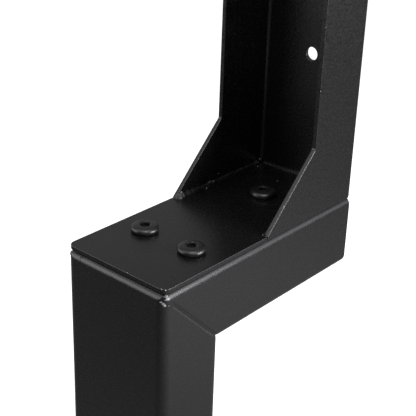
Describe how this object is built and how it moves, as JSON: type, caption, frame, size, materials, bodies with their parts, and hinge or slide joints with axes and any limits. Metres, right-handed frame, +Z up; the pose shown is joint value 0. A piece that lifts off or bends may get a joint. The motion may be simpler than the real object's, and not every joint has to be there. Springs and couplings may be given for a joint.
{
  "type": "fence repair bracket",
  "caption": "Folded steel channel with a drilled web and gusset feet, screwed on top of a mitred and welded elbow of rectangular tube, to hold a fence post.",
  "frame": {"origin": "centre of the lower post's open end", "axes": "+X along the cross tube, from the lower post to the far end and the web; +Y across the tubes; +Z up along the post and the channel"},
  "size_m": [0.184, 0.08, 0.29],
  "materials": {
    "black_coat": "black powder coat, fine texture, semi-matt",
    "dark_zinc": "dark zinc plate, slightly glossy",
    "bright_steel": "bare machined steel"
  },
  "bodies": {
    "root": {"post_tube": "black_coat", "cross_tube": "black_coat", "mitre_weld": "black_coat", "channel_bracket": "black_coat", "foot_welds": "black_coat", "screws": "dark_zinc", "weld_nuts": "bright_steel"}
  },
  "joints": []
}
